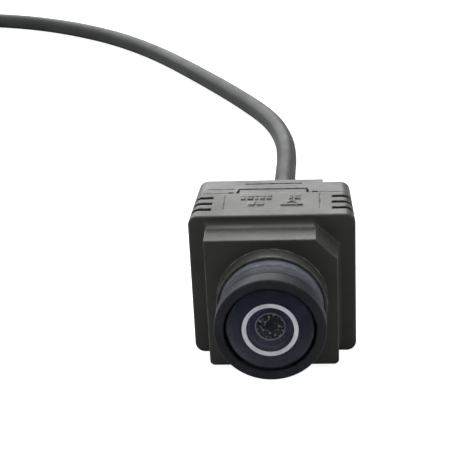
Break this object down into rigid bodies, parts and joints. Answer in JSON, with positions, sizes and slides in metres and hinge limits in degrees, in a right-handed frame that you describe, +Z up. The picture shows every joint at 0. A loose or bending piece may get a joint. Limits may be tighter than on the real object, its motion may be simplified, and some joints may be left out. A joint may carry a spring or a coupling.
{
  "type": "backup camera",
  "caption": "Square sealed vehicle backup camera with a domed lens on a keyed boss, a rear cover, a moulded boot, and a coiled lead that ends in a latching coaxial plug.",
  "frame": {"origin": "middle of the camera's footprint on the floor, without the lead and plug", "axes": "-Y is the way the lens looks, +Z is up, +X is to the right when looking along +Y"},
  "size_m": [0.1844, 0.2395, 0.0246],
  "materials": {
    "housing_plastic": "fine satin moulding",
    "cover_plastic": "fine satin moulding, slightly lighter",
    "black_anodised": "turned and black anodised, satin",
    "coated_glass": "clear with a blue-violet coating",
    "silver_trim": "bright printed or plated ring",
    "black_plastic": "deep black matt",
    "seal_rubber": "matt moulded rubber",
    "circuit_board": "green solder mask",
    "chip_black": "black moulding compound",
    "small_steel": "plain zinc-plated steel",
    "contact_brass": "bright contact metal",
    "lead_jacket": "satin extruded jacket",
    "tie_strap": "hook-and-loop strap",
    "plug_plastic": "moulded plastic",
    "lock_plastic": "moulded plastic, pale grey"
  },
  "bodies": {
    "camera": {"aperture_stop": "black_plastic", "board_header": "chip_black", "board_posts": "small_steel", "board_screws": "small_steel", "board_socket": "chip_black", "board_spacers": "small_steel", "cable": "lead_jacket", "cable_boot": "seal_rubber", "cable_coil": "lead_jacket", "cable_end": "lead_jacket", "cable_tail": "lead_jacket", "coil_tie": "tie_strap", "front_glass": "coated_glass", "front_housing": "housing_plastic", "front_spacer": "black_plastic", "housing_gasket": "seal_rubber", "image_sensor": "chip_black", "infrared_filter": "coated_glass", "lens_baffle": "black_plastic", "lens_barrel": "black_anodised", "lens_element_five": "coated_glass", "lens_element_four": "coated_glass", "lens_element_three": "coated_glass", "lens_element_two": "coated_glass", "lens_o_ring": "seal_rubber", "lens_retainer": "black_plastic", "plug_boot": "plug_plastic", "plug_contact": "contact_brass", "plug_ferrule": "small_steel", "plug_housing": "plug_plastic", "plug_insulator": "chip_black", "plug_lead": "lead_jacket", "plug_pin": "contact_brass", "power_board": "circuit_board", "power_parts": "chip_black", "rear_cover": "cover_plastic", "rear_spacer": "black_plastic", "retaining_ring": "black_anodised", "sensor_board": "circuit_board", "sensor_holder": "black_plastic", "serializer_chip": "chip_black", "shield_ferrule": "small_steel", "signal_core": "contact_brass", "trim_ring": "silver_trim", "vent_membrane": "seal_rubber"},
    "latch": {"latch_lever": "plug_plastic"},
    "lock": {"lock_slide": "lock_plastic"}
  },
  "joints": [
    {"name": "latch_hinge", "type": "hinge", "parent": "camera", "child": "latch", "pos_m": [-0.1662, 0.143, 0.0121], "axis": [1, 0, 0], "range_deg": [-5, 0], "stiffness_Nm_per_rad": 0.02},
    {"name": "lock_slide", "type": "slide", "parent": "camera", "child": "lock", "axis": [1, 0, 0], "range_m": [0, 0.0014]}
  ]
}
